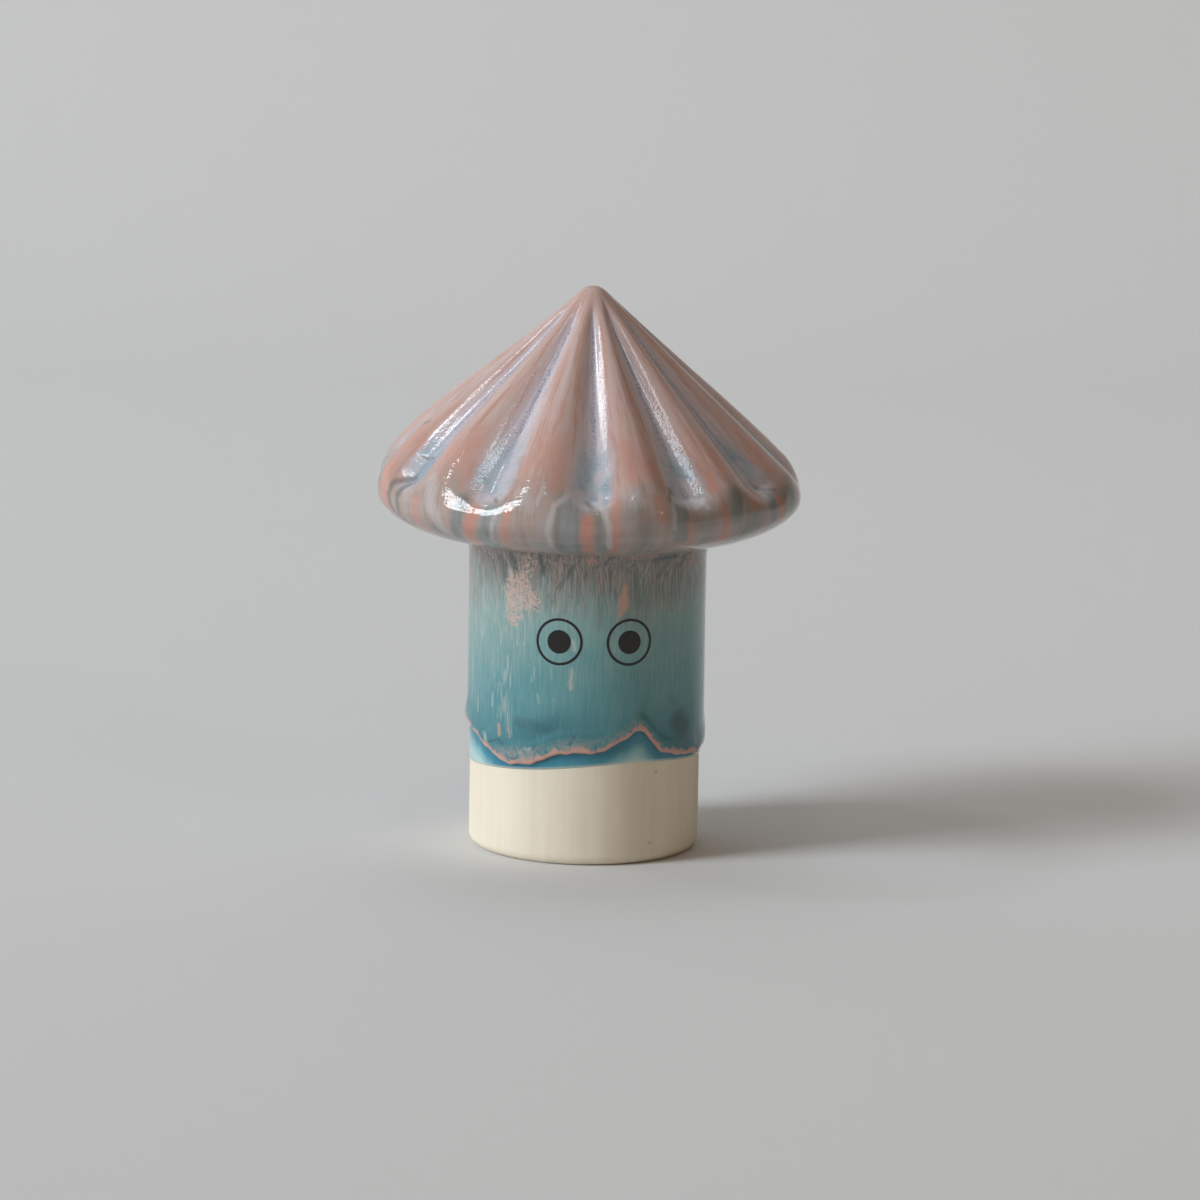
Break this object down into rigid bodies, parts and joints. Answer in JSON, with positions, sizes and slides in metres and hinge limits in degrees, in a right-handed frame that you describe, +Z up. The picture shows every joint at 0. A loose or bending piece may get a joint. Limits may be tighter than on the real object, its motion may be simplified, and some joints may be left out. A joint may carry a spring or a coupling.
{
  "type": "ceramic mushroom figurine",
  "caption": "Glazed ceramic mushroom figurine with a fluted conical cap, a hollow cylindrical stalk, run glaze over a bare clay foot and fired-on eyes.",
  "frame": {"origin": "centre of the bare clay foot, on the surface it stands on", "axes": "+Z up along the stalk, -Y out of the face"},
  "size_m": [0.0734, 0.0734, 0.098],
  "materials": {
    "stalk_clay": "bare fired stoneware, sponged smooth",
    "cap_clay": "bare fired stoneware under the glaze",
    "slip": "fired joining slip",
    "base_glaze": "thin gloss turquoise glaze",
    "run_glaze": "thick gloss turquoise run glaze",
    "cap_glaze": "gloss pink and blue broken glaze",
    "ink": "fired-on black transfer ink"
  },
  "bodies": {
    "root": {"stalk": "stalk_clay", "cap": "cap_clay", "luting_slip": "slip", "stalk_base_glaze": "base_glaze", "stalk_run_glaze": "run_glaze", "cap_glaze": "cap_glaze", "eye_ring_left": "ink", "eye_ring_right": "ink", "eye_pupil_left": "ink", "eye_pupil_right": "ink"}
  },
  "joints": []
}
